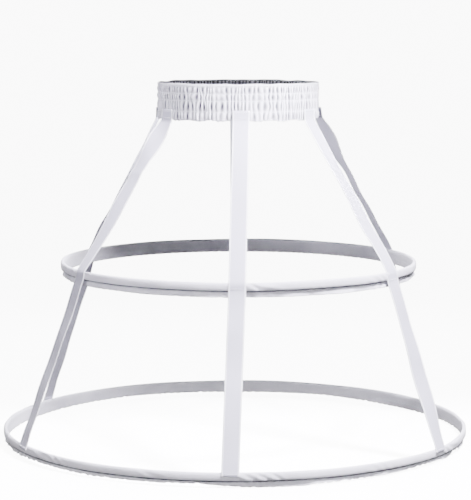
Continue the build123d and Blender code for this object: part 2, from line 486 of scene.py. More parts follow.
@dataclass
class Waistband:
    """Cloth strip folded over wide elastic and gathered on it, stitched through in rows.

    Attributes:
        channel_mm: Heights of the channels between the stitch rows, from the bottom.
        pleats: Gathers round the waist.
        depth_mm: Depth of each channel's gathers.
        deepest_mm: Deepest that the cloth goes, just short of the elastic.
        row_dip_mm: How far the stitches pull the cloth in.
        hem_mm: Height of the rolled hem above the channels.
        wall_mm: Depth of the inner ply behind the outer one.
        wall_rows_mm: Heights of the inner ply's rows, below the one under the hem.
        cloth_mm: Thickness of the cloth.
        stitch_pleats: Length of a stitch, with its gap, in gathers.
        fullness: Length of the flat strip over the waist's girth.
        wave: A gather's section: distance from its ridge in gathers, and depth there from 0 to 1.
        rolled_under: Rows of the lower edge: height, inset, and share of the gathers left in it.
        rolled_over: Rows of the hem: drop from its top, inset, and share of the rim's swing left in it.
    """

    channel_mm: tuple[float, ...] = (13.6, 16.2, 10.6, 10.5)
    pleats: int = 126
    depth_mm: tuple[float, ...] = (3.2, 4.0, 3.0, 3.4)
    deepest_mm: float = 3.95
    row_dip_mm: float = 1.6
    hem_mm: float = 4.1
    wall_mm: float = 6.3
    wall_rows_mm: tuple[float, ...] = (44.0, 36.0, 28.0, 20.0, 12.0, 5.0, 0.7)
    cloth_mm: float = 0.35
    stitch_pleats: float = 0.5
    fullness: float = 1.5
    wave: tuple[tuple[float, ...], ...] = ((0.0, 0.14, 0.26, 0.38, 0.5), (0.0, 0.1, 0.45, 0.88, 1.0))
    rolled_under: tuple[tuple[float, float, float], ...] = (
        (2.0, 5.3, 0.0), (0.8, 5.0, 0.1), (0.1, 4.0, 0.3), (0.0, 2.8, 0.6), (0.25, 1.9, 0.9),
    )
    rolled_over: tuple[tuple[float, float, float], ...] = (
        (1.2, 1.3, 0.5), (0.3, 1.9, 0.3), (0.0, 2.9, 0.2), (0.1, 4.4, 0.2), (0.9, 5.6, 0.3),
    )
    half_width: float = field(init=False)
    half_depth: float = field(init=False)
    sway: float = field(init=False)
    base: float = field(init=False)

    def __post_init__(self) -> None:
        """Take the band's outline from its CAD piece and measure round it."""
        low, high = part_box("waistband_casing")
        self.half_width = (high.x - low.x) / 2
        self.half_depth = (high.y - low.y) / 2
        self.sway = (high.x + low.x) / 2
        self.base = low.z
        angles = np.linspace(0, TURN, 2881)
        rim = np.stack([self.half_width * np.sin(angles), -self.half_depth * np.cos(angles)], -1)
        walked = walked_length(rim)
        self._angles = angles
        self._walked = walked / walked[-1]
        self.girth = float(walked[-1])
        self.rows_mm = np.concatenate([[0.0], np.cumsum(self.channel_mm)])

    def place(self, turn: np.ndarray, inset: np.ndarray, height: np.ndarray) -> np.ndarray:
        """Point of the band.

        Args:
            turn: Share of the way round from the centre front.
            inset: Distance inside the outline, in metres.
            height: Height above the band's lower edge, in metres.

        Returns:
            The points, with x, y and z on the last axis.
        """
        angle = np.interp(turn % 1.0, self._walked, self._angles)
        normal_x = np.sin(angle) / self.half_width
        normal_y = -np.cos(angle) / self.half_depth
        size = np.hypot(normal_x, normal_y)
        x = self.sway + self.half_width * np.sin(angle) - inset * normal_x / size
        y = -self.half_depth * np.cos(angle) - inset * normal_y / size
        return np.stack(np.broadcast_arrays(x, y, self.base + height), -1)

    def turn_at(self, angle: float) -> float:
        """Share of the way round for an angle in degrees from the centre front, positive to +X."""
        return float(np.interp(math.radians(angle) % TURN, self._angles, self._walked))

    def shares(self, height_mm: np.ndarray) -> np.ndarray:
        """How much each channel counts at each height, as channels by rows."""
        middles = (self.rows_mm[:-1] + self.rows_mm[1:]) / 2
        return np.stack([np.interp(height_mm, middles, row) for row in np.eye(len(middles))])

    def turn_of(self, phase: np.ndarray, height_mm: np.ndarray) -> np.ndarray:
        """Share of the way round at which a gather runs at each height.

        Args:
            phase: Gathers counted from the centre front, as one row.
            height_mm: Heights above the band's lower edge, as one value for each row.

        Returns:
            Rows by columns of the share.
        """
        turn = phase[None, :] / self.pleats
        drift = 0.7 * Unevenness(3, 3, 14).at(turn)
        for channel, share in enumerate(self.shares(height_mm)):
            own = 0.2 * Unevenness(40 + channel, 18, 44).at(turn)
            own = own + 0.06 * Unevenness(60 + channel, 60, 100).at(turn)
            drift = drift + share[:, None] * own
        return (phase[None, :] + drift) / self.pleats

    def by_pleat(self, seed: int, low: float, high: float) -> np.ndarray:
        """Random sizes for each channel and gather, partly shared by the channels.

        Args:
            seed: Picks the sizes, the same on each run.
            low: Smallest size.
            high: Largest size.

        Returns:
            Channels by gathers of the size.
        """
        draw = random.Random(seed)
        common = np.array([draw.uniform(low, high) for _ in range(self.pleats)])
        own = np.array([[draw.uniform(low, high) for _ in range(self.pleats)] for _ in self.channel_mm])
        return 0.35 * common + 0.65 * own

    def gather(self, phase: np.ndarray, height_mm: np.ndarray) -> tuple[np.ndarray, np.ndarray]:
        """Shape of the outer ply.

        Args:
            phase: Gathers counted from the centre front, as one row.
            height_mm: Heights above the band's lower edge, as one value for each row.

        Returns:
            Inset in millimetres, and painted shade from 0 to 1 by depth in the gather, as rows by columns.
        """
        edges = self.rows_mm
        channel = np.clip(np.searchsorted(edges, height_mm, side="right") - 1, 0, len(self.channel_mm) - 1)
        rise = np.clip((height_mm - edges[channel]) / np.asarray(self.channel_mm)[channel], 0, 1)
        swell = np.sin(math.pi * rise)[:, None]
        above = smooth_step(edges[-1] - 1.0, edges[-1] + 1.2, height_mm)[:, None]
        shares = self.shares(height_mm).T
        # Each valley has its own strength in each channel, and each ridge its own inset.
        before = np.floor(phase + 1e-9).astype(int)
        off_ridge = phase - before - 0.5
        valley = (before + (off_ridge > 0)) % self.pleats
        strength = shares @ self.by_pleat(80, 0.35, 1.35)[:, valley]
        ridge = shares @ self.by_pleat(81, 0.0, 0.9)[:, before % self.pleats]
        wave = np.interp(np.abs(off_ridge), *self.wave)[None, :]
        # Full depth in the middle of a channel, and the cloth pulled in at the stitches.
        depth = (shares @ np.asarray(self.depth_mm))[:, None] * strength
        envelope = (0.25 + 0.75 * swell**0.7) * (1 - above) + 0.12 * above
        dip = self.row_dip_mm * (1 - swell) * (1 - above) + 1.2 * above
        inset = dip + ridge * (1 - wave) * (1 - above) + np.maximum(depth - ridge, 0.2) * envelope * wave
        # Painted shade, darkest at the bottom of each gather's valley.
        fold = wave * np.maximum(envelope, 0.4 * (1 - above)) * np.clip(strength, 0, 1)
        return np.minimum(inset, self.deepest_mm), fold

    def build_cloth(self) -> bpy.types.Object:
        """Build the folded, gathered strip, from its lower edge over the hem to the inner ply.

        Returns:
            The new piece.
        """
        edges = self.rows_mm
        top = edges[-1] + self.hem_mm
        # Columns follow each gather from valley over ridge to valley.
        offsets = np.array([0.0, 0.12, 0.24, 0.36, 0.5, 0.64, 0.76, 0.88])
        phase = (np.arange(self.pleats)[:, None] + offsets[None, :]).ravel()
        outer = [0.9]
        for low, high in zip(edges, edges[1:]):
            steps = 7 if high - low > 12 else 6
            outer += [low + (high - low) * (step + 1) / steps for step in range(steps)]
        outer = np.array(sorted(outer + [edges[-1] + 0.8, edges[-1] + 1.8]))
        inset, fold = self.gather(phase, outer)
        swing = inset[:1] - 1.6
        rim = self.gather(phase, outer[-1:])[0] - 1.3
        hang = 0.5 + 0.5 * np.cos(TURN * phase)[None, :]
        flat = np.zeros_like(swing)
        # Rows of height, inset and painted shade, in order over the strip.
        rows = [(level, base + swing * share, fold[:1] * share) for level, base, share in self.rolled_under]
        rows += [(level, inset[row : row + 1], fold[row : row + 1]) for row, level in enumerate(outer)]
        rows += [(top - drop, base + rim * share, flat) for drop, base, share in self.rolled_over]
        # The inner ply gets painted shade in its gathers too.
        for level in (top - 3.2, *self.wall_rows_mm):
            rows.append((level, self.wall_mm + 1.1 * hang, 0.6 * hang))
        level = np.array([row[0] for row in rows])
        inset = np.concatenate([row[1] for row in rows])
        fold = np.concatenate([row[2] for row in rows])
        turn = self.turn_of(phase, np.clip(level, 0.0, edges[-1]))
        # The lower edge and the hem wave a little.
        sag = 0.8 * Unevenness(11, 7, 26).at(turn) + 0.3 * Unevenness(12, 60, 110).at(turn)
        lift = 0.35 * Unevenness(13, 5, 40).at(turn)
        height = level[:, None] + sag * (1 - smooth_step(0.0, 9.0, level))[:, None]
        height = height + lift * smooth_step(46.0, 54.0, level)[:, None]
        points = self.place(turn, inset * MM, height * MM)
        across = walked_length(points)
        cut = self.girth * self.fullness
        along = np.append(phase, self.pleats) / self.pleats * cut
        piece = grid_mesh("waistband_cloth", points, across, along, True, fold)
        thicken(piece, self.cloth_mm * MM)
        self.flat = (float(across[-1]), cut)
        return piece

    def build_stitches(self) -> bpy.types.Object:
        """Build the rows of stitches between the channels and under the hem.

        Returns:
            The new piece.
        """
        paths = []
        starts = np.arange(0, self.pleats, self.stitch_pleats)
        phase = (starts[:, None] + STITCH_SHARES[None, :] * self.stitch_pleats).ravel()
        for row, level in enumerate(np.cumsum(self.channel_mm)):
            inset, _ = self.gather(phase, np.array([level]))
            lift = np.tile(np.array([-0.35, 0.3, 0.5, 0.3, -0.35]), len(starts))
            held = inset.reshape(-1, 5).min(axis=1).repeat(5)
            turn = self.turn_of(phase, np.array([level]))[0]
            wander = 0.35 * Unevenness(70 + row, 9, 40).at(turn)
            points = self.place(turn, (0.5 * (inset[0] + held) - lift) * MM, (level + wander) * MM)
            paths.append(points.reshape(-1, 5, 3))
        radius = np.array([0.14, 0.2, 0.22, 0.2, 0.14]) * MM
        return thread_mesh("waistband_stitches", np.concatenate(paths), radius)

    def build(self, cotton: bpy.types.Material, thread: bpy.types.Material) -> None:
        """Build the band's pieces and dress them.

        Args:
            cotton: Finish of the cloth.
            thread: Finish of the stitches.
        """
        cloth = self.build_cloth()
        finish_piece(cloth, cotton, ("waistband_casing",))
        stitches = self.build_stitches()
        finish_piece(stitches, thread, ())


# Hoops


@dataclass
class HoopCasing:
    """Cloth strip folded over a hoop's bone and stitched under it, its two raw edges hanging as a flap.

    Attributes:
        name: Name of the hoop, upper_hoop or lower_hoop.
        seed: Picks the hoop's own creases.
        ragged_mm: How far the raw edges wander.
        columns: Points round the hoop.
        face_mm: Bone's middle to the casing's face.
        flap_mm: Height of the flap.
        cloth_mm: Thickness of the cloth.
        stitch_mm: Length of a stitch, with its gap.
        pucker_mm: Spacing of the puckers along the seam.
        wrinkle_mm: Spacing of the slanting wrinkles in the tube.
        hair_mm: Shortest and longest frayed thread end.
        tuck: Share of the flap's height that hangs down, at angles in degrees from the centre front.
        lap: Angles at which the strip's end overlaps its start, or none.
        hairs: How many frayed thread ends there are.
        loose: Angles at which a longer thread hangs down the inner face.
    """

    name: str
    seed: int
    ragged_mm: float
    columns: int
    face_mm: float = 3.25
    flap_mm: float = 9.6
    cloth_mm: float = 0.5
    stitch_mm: float = 3.0
    pucker_mm: float = 11.0
    wrinkle_mm: float = 24.0
    hair_mm: tuple[float, float] = (1.5, 5.5)
    tuck: tuple[tuple[float, float], ...] = ((-180.0, 1.0), (180.0, 1.0))
    lap: tuple[float, float] | None = None
    hairs: int = 140
    loose: tuple[float, ...] = ()
    radius: float = field(init=False)
    sway: float = field(init=False)
    base: float = field(init=False)
    top_mm: float = field(init=False)

    def __post_init__(self) -> None:
        """Take the hoop's size and place from its CAD piece."""
        low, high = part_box(f"{self.name}_casing")
        self.radius = (high.x - low.x) / 2 - self.face_mm * MM
        self.sway = (high.x + low.x) / 2
        self.base = low.z
        self.top_mm = (high.z - low.z) / MM

    def place(self, turn: np.ndarray, outset_mm: np.ndarray, height_mm: np.ndarray) -> np.ndarray:
        """Point of the hoop.

        Args:
            turn: Share of the way round from the centre front.
            outset_mm: Distance outside the bone's middle.
            height_mm: Height above the casing's lower edge.

        Returns:
            The points, with x, y and z on the last axis.
        """
        angle = TURN * turn
        reach = self.radius + outset_mm * MM
        x = self.sway + reach * np.sin(angle)
        y = -reach * np.cos(angle)
        return np.stack(np.broadcast_arrays(x, y, self.base + height_mm * MM), -1)

    def section(self) -> tuple[np.ndarray, np.ndarray, np.ndarray, np.ndarray]:
        """Rows of the folded strip, from the outer raw edge up round the tube and down to the inner one.

        Returns:
            Outset and height in mm, nearness to the raw edge, and 1 on the tube, each as one column.
        """
        skin = self.cloth_mm / 2
        half = (self.top_mm - self.flap_mm) / 2 - skin
        lift = self.flap_mm + half + skin
        face = self.face_mm - skin
        inner = -face
        rows = []
        for share in np.linspace(0, 1, 8):
            rows.append((inner + 1.75 - 0.15 * share, 0.3 + share * (self.flap_mm - 0.9), 1 - share, 0.0))
        rows.append((inner + 1.45, self.flap_mm - 0.1, 0.0, 0.0))
        for angle in np.radians(np.linspace(-112, 180, 22)):
            ripple = math.copysign(abs(math.cos(angle)) ** 0.8, math.cos(angle))
            climb = math.copysign(abs(math.sin(angle)) ** 0.8, math.sin(angle))
            rows.append((face * ripple, lift + half * climb, 0.0, 1.0))
        for share in np.linspace(0, 1, 9)[1:]:
            drop = lift * (1 - share) + 0.3 * share
            rows.append((inner + 0.1, drop, max(0.0, 1 - drop / self.flap_mm), 0.0))
        outset, height, edge, round_part = np.array(rows).T
        return outset[:, None], height[:, None], edge[:, None], round_part[:, None]

    def build_cloth(self) -> bpy.types.Object:
        """Build the folded strip with its puckers along the seam and its wavy flap.

        Returns:
            The new piece.
        """
        outset, height, edge, round_part = self.section()
        turn = np.arange(self.columns)[None, :] / self.columns
        girth_mm = TURN * self.radius / MM
        slow = Unevenness(self.seed, 3, 11).at(turn)
        swell = Unevenness(self.seed + 1, 9, 40).at(turn)
        pull = Unevenness(self.seed + 2, 6, 24).at(turn)
        # Short puckers on both sides of the seam, which lean over the tube.
        puckers = round(girth_mm / self.pucker_mm)
        tilt = 0.09 * height
        pucker = np.sin(TURN * (puckers * turn + 0.5 * Unevenness(self.seed + 3, 10, 60).at(turn)) + tilt * 6)
        near_seam = np.exp(-np.abs(height - self.flap_mm) / 3.2)
        strength = np.clip(0.7 + 0.5 * Unevenness(self.seed + 4, 8, 30).at(turn), 0.1, 1.6)
        puff = round_part * (0.22 * swell + 0.12 * slow)
        facing = outset > -1.5
        moved = outset + np.sign(outset) * puff * facing + 0.38 * pucker * near_seam * strength * facing
        # The flap's outer ply stands off here and there, and both raw edges wander.
        outer = np.arange(outset.shape[0])[:, None] < 9
        flare = edge**1.5 * (0.9 + 0.8 * pull + 0.35 * Unevenness(self.seed + 5, 40, 110).at(turn))
        moved = moved + np.where(outer, np.maximum(flare, -0.6), -0.35 * edge * np.maximum(pull, 0))
        fray = Unevenness(self.seed + 6, 50, 200).at(turn) + 0.8 * Unevenness(self.seed + 7, 5, 20).at(turn)
        fray = np.where(outer, fray, Unevenness(self.seed + 8, 50, 200).at(turn))
        ragged = self.ragged_mm * np.maximum(fray, -0.2) * edge**2
        # The flap hangs lower in some places than in others.
        degrees = (360 * turn + 180) % 360 - 180
        places, hanging = np.array(self.tuck).T
        share = np.interp(degrees, places, hanging)
        hang = self.flap_mm - (self.flap_mm - height) * share
        rise = np.where(height < self.flap_mm, hang, height) + ragged
        rise = rise + (1 - edge) * 0.25 * slow * (height > 2)
        # Patches of slanting wrinkles on the tube.
        wrinkles = round(girth_mm / self.wrinkle_mm)
        patch = np.clip(Unevenness(self.seed + 10, 4, 16).at(turn) - 0.2, 0.0, 1.3)
        slant = TURN * (wrinkles * turn + 0.4 * Unevenness(self.seed + 11, 8, 30).at(turn)) + 0.6 * height
        moved = moved + 0.45 * np.sin(slant) * patch * round_part * facing
        # The strip's end lies over its start.
        if self.lap:
            start, end = self.lap
            raised = smooth_step(start, start + 0.35, degrees) * 0.75
            moved = moved + raised * smooth_step(-end, 0.5 - end, -degrees) * facing
        points = self.place(turn, moved, np.maximum(rise, 0.25))
        across = walked_length(points)
        along = np.arange(self.columns + 1) / self.columns * girth_mm * MM
        # Painted shade darkens the crease above and below the seam, on the outer ply.
        below = height < self.flap_mm
        from_seam = np.where(below, (self.flap_mm - height) * share, (height - self.flap_mm) * 1.5)
        fold = np.clip(1.7 - from_seam / 1.4, 0.0, 1.0) * (outset > -1.6)
        piece = grid_mesh(f"{self.name}_cloth", points, across, along, True, np.clip(fold, 0, 1))
        thicken(piece, self.cloth_mm * MM)
        self.flat = (float(across[-1]), girth_mm * MM)
        return piece

    def build_stitches(self) -> bpy.types.Object:
        """Build the seam's stitches, seen just under the crease outside and on the inner ply.

        Returns:
            The new piece.
        """
        count = int(TURN * self.radius / (self.stitch_mm * MM))
        starts = np.arange(count) / count
        turn = starts[:, None] + STITCH_SHARES[None, :] / count
        wander = 0.3 * Unevenness(self.seed + 9, 9, 50).at(turn)
        lift = np.array([-0.3, 0.2, 0.4, 0.2, -0.3])[None, :]
        inner = -self.face_mm + self.cloth_mm / 2
        outside = self.place(turn, inner + 1.9 + lift, self.flap_mm - 1.4 + wander)
        inside = self.place(turn, inner - 0.1 - lift, self.flap_mm - 1.2 + wander)
        radius = np.array([0.12, 0.18, 0.2, 0.18, 0.12]) * MM
        return thread_mesh(f"{self.name}_stitches", np.concatenate([outside, inside]), radius)

    def build_fray(self) -> bpy.types.Object:
        """Build the thread ends that hang out of the raw edges.

        Returns:
            The new piece.
        """
        draw = random.Random(self.seed + 20)
        paths = []
        inner = -self.face_mm + self.cloth_mm / 2
        for _ in range(self.hairs):
            turn = draw.random()
            length = draw.uniform(*self.hair_mm)
            lean = draw.uniform(-1.0, 1.0)
            out = draw.uniform(0.2, 1.0)
            steps = np.array([0.0, 0.35, 0.7, 1.0])
            around = turn + lean * length * steps * MM / (TURN * self.radius)
            outset = inner + 1.9 + out * length * steps * 0.6
            height = 0.9 + draw.uniform(0.0, 1.2) - 0.5 * steps + draw.uniform(-0.5, 1.0) * steps**2
            paths.append(self.place(around, outset, np.maximum(height, 0.2)))
        for angle in self.loose:
            steps = np.array([0.0, 0.3, 0.7, 1.0])
            around = (angle + np.array([0.0, 0.9, 0.6, 1.6])) / 360
            outset = -self.face_mm - np.array([0.2, 0.6, 1.4, 1.0])
            paths.append(self.place(around, outset, (self.top_mm - 1.5) * (1 - steps) + 1.0))
        radius = np.array([0.12, 0.1, 0.09, 0.05]) * MM
        return thread_mesh(f"{self.name}_fray", np.array(paths), radius, sides=4)

    def build(self, cotton: bpy.types.Material, thread: bpy.types.Material) -> None:
        """Build the casing's pieces and dress them.

        Args:
            cotton: Finish of the cloth.
            thread: Finish of the stitches and thread ends.
        """
        cloth = self.build_cloth()
        finish_piece(cloth, cotton, (f"{self.name}_casing",))
        stitches = self.build_stitches()
        finish_piece(stitches, thread, ())
        fray = self.build_fray()
        finish_piece(fray, thread, ())


# Tapes


@dataclass(frozen=True)
class TapeRun:
    """Places of one tape, in degrees from the centre front, and how it turns on its way.

    Attributes:
        name: Place name, as in the CAD node tape_NAME.
        waist: Angle on the waistband's oval.
        upper: Angle on the upper hoop.
        lower: Angle on the lower hoop.
        twists: Turns about the tape's length: share of its length, spread, degrees.
        bows: Places where the tape stands off its line: share of its length, spread, millimetres outwards.
    """

    name: str
    waist: float
    upper: float
    lower: float
    twists: tuple[tuple[float, float, float], ...] = ()
    bows: tuple[tuple[float, float, float], ...] = ()


@dataclass
class TapeSet:
    """Six flat tapes from the waistband over the upper hoop to the lower hoop, with their tacks.

    Attributes:
        waistband: The band that they hang from.
        upper: The hoop that they pass over.
        lower: The hoop that they end on.
        runs: The tapes' places.
        width_mm: Width of a tape.
        thickness_mm: Thickness of a tape.
        seat_mm: Gap and half thickness between a casing's face and the tape's middle.
        waist_overlap_mm: Length of tape sewn on the waistband.
        hoop_overlap_mm: Length of tape sewn on the lower hoop.
        turn_under_mm: Length folded back at the lower end.
        bend_mm: Radius of that fold.
        cup_mm: How far a tape's edges curl in.
        step_mm: Spacing of the points along a tape.
        zigzag_mm: Spacing of a tack's stitches.
        first_seed: Picks the tapes' small waves.
        tacks: Bars on each tape by level: distance down from the level, width and height.
        section: Half a tape's section: share of its half width, and of its thickness there.
    """

    waistband: Waistband
    upper: HoopCasing
    lower: HoopCasing
    runs: tuple[TapeRun, ...]
    width_mm: float = 25.4
    thickness_mm: float = 0.95
    seat_mm: float = 0.85
    waist_overlap_mm: float = 16.0
    hoop_overlap_mm: float = 3.6
    turn_under_mm: float = 8.0
    bend_mm: float = 0.56
    cup_mm: float = 0.35
    step_mm: float = 3.0
    zigzag_mm: float = 0.9
    first_seed: int = 400
    tacks: tuple[tuple[Level, tuple[tuple[float, float, float], ...]], ...] = (
        (Level.WAIST, ((3.0, 19.0, 1.0), (13.0, 19.0, 1.2))),
        (Level.UPPER_HOOP, ((0.0, 19.0, 1.2),)),
        (Level.LOWER_HOOP, ((-2.0, 19.0, 1.2),)),
    )
    section: tuple[tuple[float, ...], ...] = (
        (0.0, 0.35, 0.7, 0.84, 0.9, 0.965, 1.0),
        (0.9, 0.9, 0.9, 0.95, 1.15, 1.05, 0.45),
    )

    def rim_place(self, angle: float, height_mm: float) -> tuple[np.ndarray, np.ndarray]:
        """Place of a tape's middle on the waistband.

        Args:
            angle: Degrees from the centre front.
            height_mm: Height above the band's lower edge.

        Returns:
            The point, and the direction across a tape there.
        """
        turn = self.waistband.turn_at(angle)
        point = self.waistband.place(np.array(turn), np.array(-self.seat_mm * MM), np.array(height_mm * MM))
        close = self.waistband.place(np.array(turn), np.array(0.0), np.array(height_mm * MM))
        outward = unit(point - close)
        return point, np.array([-outward[1], outward[0], 0.0])

    def hoop_place(
        self, hoop: HoopCasing, angle: float, gap_mm: float, height_mm: float
    ) -> tuple[np.ndarray, np.ndarray]:
        """Place of a tape's middle outside a hoop's casing.

        Args:
            hoop: The hoop.
            angle: Degrees from the centre front.
            gap_mm: Distance outside the casing's face.
            height_mm: Height above the casing's lower edge.

        Returns:
            The point, and the direction across a tape there.
        """
        point = hoop.place(np.array(angle / 360), np.array(hoop.face_mm + gap_mm), np.array(height_mm))
        turn = math.radians(angle)
        return point, np.array([math.cos(turn), math.sin(turn), 0.0])

    def centre_line(self, run: TapeRun) -> tuple[np.ndarray, np.ndarray, np.ndarray]:
        """Middle of a tape, from the top down.

        Args:
            run: The tape's places.

        Returns:
            The points, the direction across the tape at each and the share of its length there.
        """
        upper_top, lower_top = self.upper.top_mm, self.lower.top_mm
        places = [
            self.rim_place(run.waist, self.waist_overlap_mm),
            self.rim_place(run.waist, 0.0),
            self.hoop_place(self.upper, run.upper, self.seat_mm + 0.5, upper_top - 2.0),
            self.hoop_place(self.upper, run.upper, self.seat_mm + 0.2, self.upper.flap_mm + 2.0),
            self.hoop_place(self.lower, run.lower, 2 * self.seat_mm, lower_top - self.hoop_overlap_mm),
        ]
        points, sides = (np.array(values) for values in zip(*places))
        walked = walked_length(points)
        count = int(walked[-1] / (self.step_mm * MM)) + 1
        steps = np.linspace(0, walked[-1], count)
        smoothed = []
        for values, rounds in ((points, 3), (sides, 8)):
            eased = np.stack([np.interp(steps, walked, values[:, axis]) for axis in range(3)], -1)
            for _ in range(rounds):
                eased[1:-1] = (eased[:-2] + 2 * eased[1:-1] + eased[2:]) / 4
            smoothed.append(eased)
        line, across = smoothed
        return line, unit(across), steps / walked[-1]

    def build_tape(self, run: TapeRun, seed: int) -> bpy.types.Object:
        """Build one tape with its rounded bends, slight cup, firm edges and turned-under end.

        Args:
            run: The tape's places.
            seed: Picks its own small waves.

        Returns:
            The new piece.
        """
        line, across, share = self.centre_line(run)
        tangent = unit(np.gradient(line, axis=0))
        across = unit(across - tangent * np.sum(across * tangent, axis=1, keepdims=True))
        normal = np.cross(across, tangent)
        outward = line * [1, 1, 0]
        if np.sum(normal * outward) < 0:
            normal = -normal
        # The tape turns about its length as listed, with a small turn of its own where it is free.
        angle = np.zeros(len(line))
        for middle, spread, degrees in run.twists:
            angle += math.radians(degrees) * np.exp(-(((share - middle) / spread) ** 2))
        free = smooth_step(0.03, 0.12, share) * (1 - smooth_step(0.93, 0.99, share))
        wander = Unevenness(seed, 1, 5, 5).at(share * 0.9)
        angle += math.radians(2.0) * wander * free
        turned = across * np.cos(angle)[:, None] + normal * np.sin(angle)[:, None]
        facing = normal * np.cos(angle)[:, None] - across * np.sin(angle)[:, None]
        line = line + facing * (0.5 * MM * Unevenness(seed + 1, 2, 9, 6).at(share * 0.9) * free)[:, None]
        for middle, spread, stand_off in run.bows:
            line = line + facing * (stand_off * MM * np.exp(-(((share - middle) / spread) ** 2)))[:, None]
        line, turned, facing = self.turn_under(line, turned, facing)
        # Its section is thicker just inside each edge, where the weave is firm.
        half = self.width_mm / 2
        right, swell = np.array(self.section)
        places = np.concatenate([-right[:0:-1], right]) * half
        thick = np.concatenate([swell[:0:-1], swell]) * self.thickness_mm / 2
        cup = -self.cup_mm * (places / half) ** 2
        spots = np.concatenate([places, places[::-1]])
        lifts = np.concatenate([cup + thick, (cup - thick)[::-1]])
        points = line[:, None] + turned[:, None] * spots[None, :, None] * MM
        points = points + facing[:, None] * lifts[None, :, None] * MM
        walked = walked_length(line)
        self.length = float(walked[-1])
        return self.join_sections(f"{run.name}_tape", points, walked, spots * MM)

    def turn_under(
        self, line: np.ndarray, turned: np.ndarray, facing: np.ndarray
    ) -> tuple[np.ndarray, np.ndarray, np.ndarray]:
        """Fold the lower end back behind the tape.

        Args:
            line: Middle of the tape, from the top down.
            turned: Direction across the tape at each point.
            facing: Direction out of its face at each point.

        Returns:
            The same three, with the fold's points added.
        """
        radius = self.bend_mm * MM
        end, ahead, out = line[-1], unit(line[-1] - line[-2]), facing[-1]
        extra, faces = [], []
        for angle in np.radians([40, 90, 140, 180]):
            extra.append(end - out * radius * (1 - math.cos(angle)) + ahead * radius * math.sin(angle))
            faces.append(out * math.cos(angle) + ahead * math.sin(angle))
        for rise in (2.0, 4.0, 6.0, self.turn_under_mm):
            extra.append(end - out * 2 * radius - ahead * rise * MM)
            faces.append(-out)
        line = np.concatenate([line, np.array(extra)])
        facing = np.concatenate([facing, np.array(faces)])
        turned = np.concatenate([turned, np.repeat(turned[-1:], len(extra), axis=0)])
        return line, turned, facing

    def join_sections(
        self, name: str, points: np.ndarray, walked: np.ndarray, spots: np.ndarray
    ) -> bpy.types.Object:
        """Join a tape's sections into one mesh with closed ends.

        Args:
            name: Name of the object.
            points: Sections by points by 3, in metres.
            walked: Distance of each section along the tape.
            spots: Distance of each point from the tape's middle.

        Returns:
            The new piece.
        """
        rings, sides = points.shape[:2]
        ring, side = np.meshgrid(np.arange(rings - 1), np.arange(sides), indexing="ij")
        beside = (side + 1) % sides
        square = [(ring, side), (ring + 1, side), (ring + 1, beside), (ring, beside)]
        faces = np.stack([here * sides + there for here, there in square], -1).reshape(-1, 4)
        corners = np.stack([np.stack([walked[here], spots[there]], -1) for here, there in square], -2)
        half = sides // 2
        caps = []
        for base, order in ((0, 1), ((rings - 1) * sides, -1)):
            for step in range(half - 1):
                face = [base + step, base + step + 1, base + sides - 2 - step, base + sides - 1 - step]
                caps.append(face[::order])
        faces = np.concatenate([faces, np.array(caps)])
        corners = np.concatenate([corners.reshape(-1, 2), np.zeros((4 * len(caps), 2))])
        return mesh_object(name, points.reshape(-1, 3), faces, corners)

    def tack_row(
        self, run: TapeRun, level: Level, down_mm: float, wide_mm: float, tall_mm: float
    ) -> list[np.ndarray]:
        """One bar of close zigzag stitches across a tape.

        Args:
            run: The tape's places.
            level: Where the bar sits.
            down_mm: Distance down the tape from that level.
            wide_mm: Width of the bar.
            tall_mm: Height of the bar.

        Returns:
            The points of each stitch.
        """
        line, across, share = self.centre_line(run)
        walked = share * walked_length(line)[-1]
        crossing, _ = self.hoop_place(self.upper, run.upper, self.seat_mm, self.upper.flap_mm + 2.0)
        nearest = int(np.argmin(np.linalg.norm(line - crossing, axis=1)))
        start = {Level.WAIST: 0.0, Level.UPPER_HOOP: walked[nearest], Level.LOWER_HOOP: walked[-1]}[level]
        down = start + down_mm * MM
        place = int(np.argmin(np.abs(walked - down)))
        place = min(max(place, 1), len(line) - 2)
        tangent = unit(line[place + 1] - line[place - 1])
        side = unit(across[place] - tangent * np.dot(across[place], tangent))
        out = np.cross(side, tangent)
        out = out if np.dot(out[:2], line[place][:2]) > 0 else -out
        near = line[place] + tangent * (down - walked[place])
        paths = []
        count = int(wide_mm / self.zigzag_mm)
        for step in range(count):
            left = -wide_mm / 2 + wide_mm * step / count
            right = left + wide_mm / count
            rise = tall_mm / 2 * (1 if step % 2 else -1)
            spots = []
            for part, lift in ((0.0, 0.35), (0.25, 0.72), (0.75, 0.72), (1.0, 0.35)):
                sideways = left + (right - left) * part
                cup = -self.cup_mm * (sideways / (self.width_mm / 2)) ** 2
                spot = near + side * sideways * MM + tangent * rise * (1 - 2 * part) * MM
                spots.append(spot + out * (lift + cup + 0.05) * MM)
            paths.append(np.array(spots))
        return paths

    def build_tacks(self, level: Level, rows: tuple[tuple[float, float, float], ...]) -> bpy.types.Object:
        """Build the tacks of one level on every tape.

        Args:
            level: Where they sit.
            rows: Each bar's distance down the tape from that level, width and height, in mm.

        Returns:
            The new piece.
        """
        paths = []
        for run in self.runs:
            for down, wide, tall in rows:
                paths += self.tack_row(run, level, down, wide, tall)
        radius = np.array([0.16, 0.24, 0.24, 0.16]) * MM
        return thread_mesh(f"{level.value}_tack_stitches", np.array(paths), radius)

    def build(self, twill: bpy.types.Material, thread: bpy.types.Material) -> None:
        """Build the tapes and their tacks and dress them.

        Args:
            twill: Finish of the tapes.
            thread: Finish of the tacks.
        """
        for place, run in enumerate(self.runs):
            tape = self.build_tape(run, self.first_seed + 10 * place)
            finish_piece(tape, twill, (f"tape_{run.name}",))
        for level, rows in self.tacks:
            finish_piece(self.build_tacks(level, rows), thread, (f"{level.value}_tacks",))


# Studio


